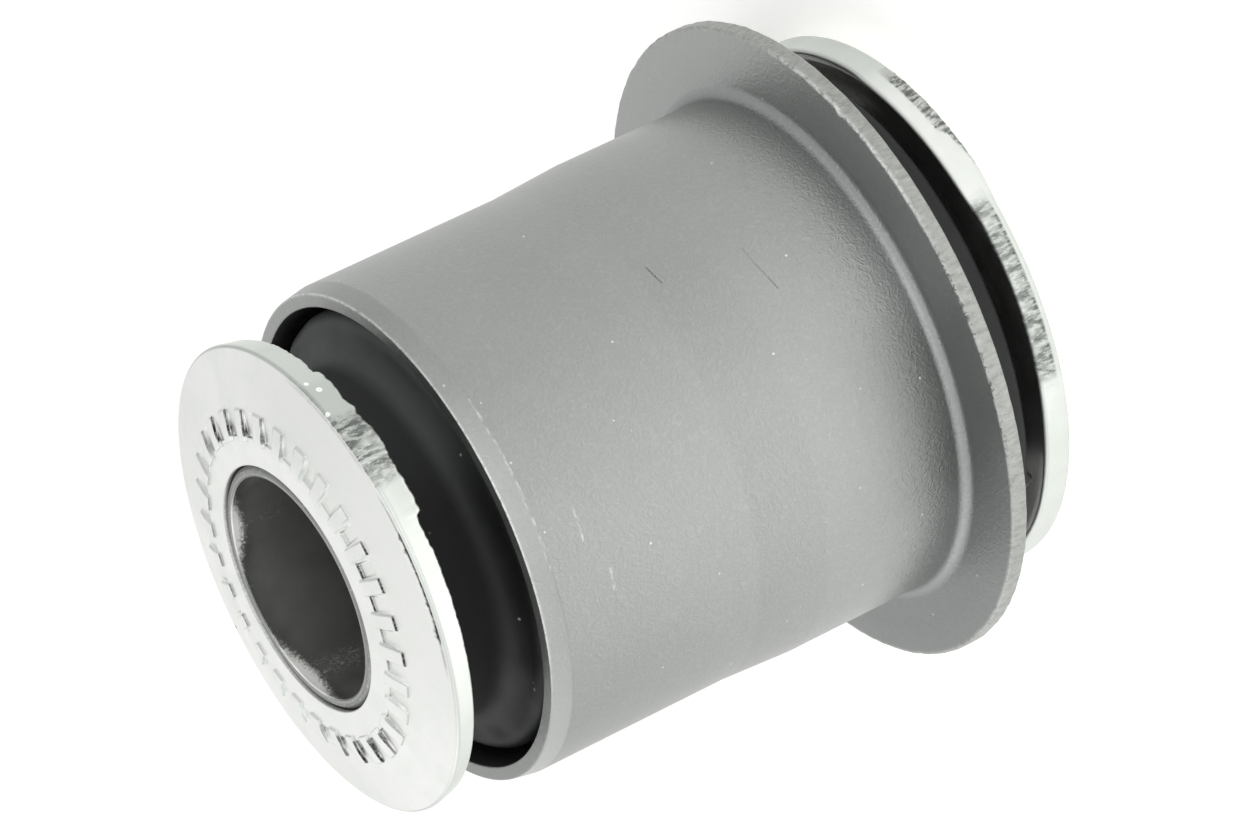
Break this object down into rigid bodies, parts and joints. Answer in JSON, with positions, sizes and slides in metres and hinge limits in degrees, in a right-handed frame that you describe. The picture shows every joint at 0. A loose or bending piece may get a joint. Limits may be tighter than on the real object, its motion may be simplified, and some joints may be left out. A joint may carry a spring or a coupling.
{
  "type": "rubber metal bush",
  "caption": "Flanged steel shell bonded by rubber to an inner sleeve, with a dished, serrated washer pressed on each end; presses into an arm's eye and takes a through bolt.",
  "frame": {"origin": "centre of the underside: on the axis of the bush, in the plane of the outer face of the rear washer, which the part stands on", "axes": "+Z along the axis of the bush from the rear washer, beside the flange, to the front washer; -Y is the side turned to the camera in the picture; the picture is taken with +Z pointing to the left and slightly down"},
  "size_m": [0.058, 0.058, 0.0641],
  "materials": {
    "shell_steel": "matt grey phosphated steel, fine blasted grain",
    "sleeve_steel": "turned steel, thin oil film",
    "rubber": "black moulded rubber, satin",
    "washer_steel": "bright zinc plated pressed steel with torn, striated rims"
  },
  "bodies": {
    "root": {"outer_shell": "shell_steel", "inner_sleeve": "sleeve_steel", "rubber_body": "rubber", "front_washer": "washer_steel", "rear_washer": "washer_steel"}
  },
  "joints": []
}
